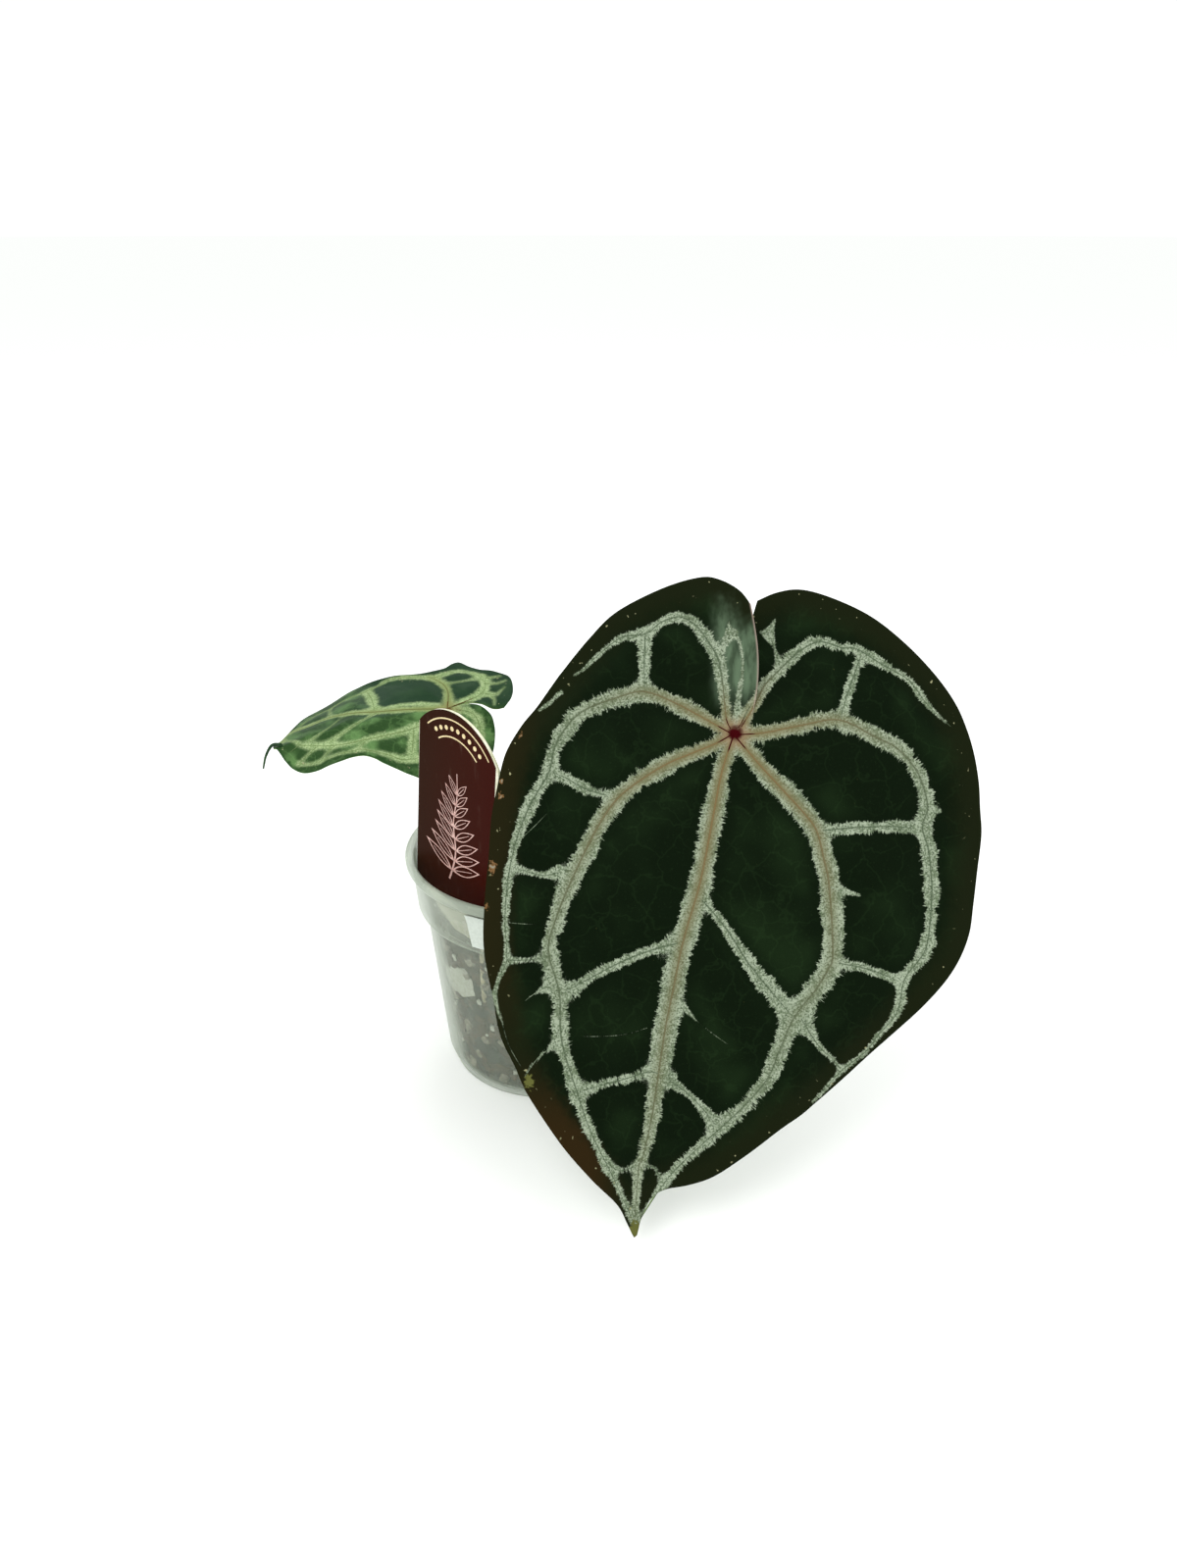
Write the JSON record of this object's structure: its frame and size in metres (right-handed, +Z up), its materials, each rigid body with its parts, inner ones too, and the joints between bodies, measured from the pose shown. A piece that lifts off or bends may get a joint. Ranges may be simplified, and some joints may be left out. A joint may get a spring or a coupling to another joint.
{
  "type": "potted anthurium hybrid",
  "caption": "Young velvet-leaved anthurium hybrid with heart-shaped, silver-veined leaves, in a frosted plastic nursery pot with a stake label.",
  "frame": {"origin": "middle of the underside of the pot, on the surface that the plant stands on", "axes": "+Z up the pot's axis; -Y towards the side that the large leaf's face looks to, with +X to the right of someone who looks at it"},
  "size_m": [0.2399, 0.1677, 0.1965],
  "materials": {
    "pot_plastic": "frosted, see-through polypropylene",
    "potting_mix": "rough bark, pumice and perlite",
    "stem_and_roots": "matte living tissue",
    "dry_sheath": "papery, dry",
    "leaf_stalk": "smooth, satin",
    "velvet_leaf": "velvety, with silver veins",
    "young_leaf": "satin, with pale green veins",
    "label_plastic": "printed, glossy",
    "sticker_paper": "matte"
  },
  "bodies": {
    "root": {"pot": "pot_plastic", "substrate": "potting_mix", "crown_and_roots": "stem_and_roots", "crown_sheaths": "dry_sheath", "large_leaf_petiole": "leaf_stalk", "small_leaf_petiole": "leaf_stalk", "large_leaf_blade": "velvet_leaf", "small_leaf_blade": "young_leaf", "plant_label": "label_plastic", "pot_sticker": "sticker_paper"}
  },
  "joints": []
}
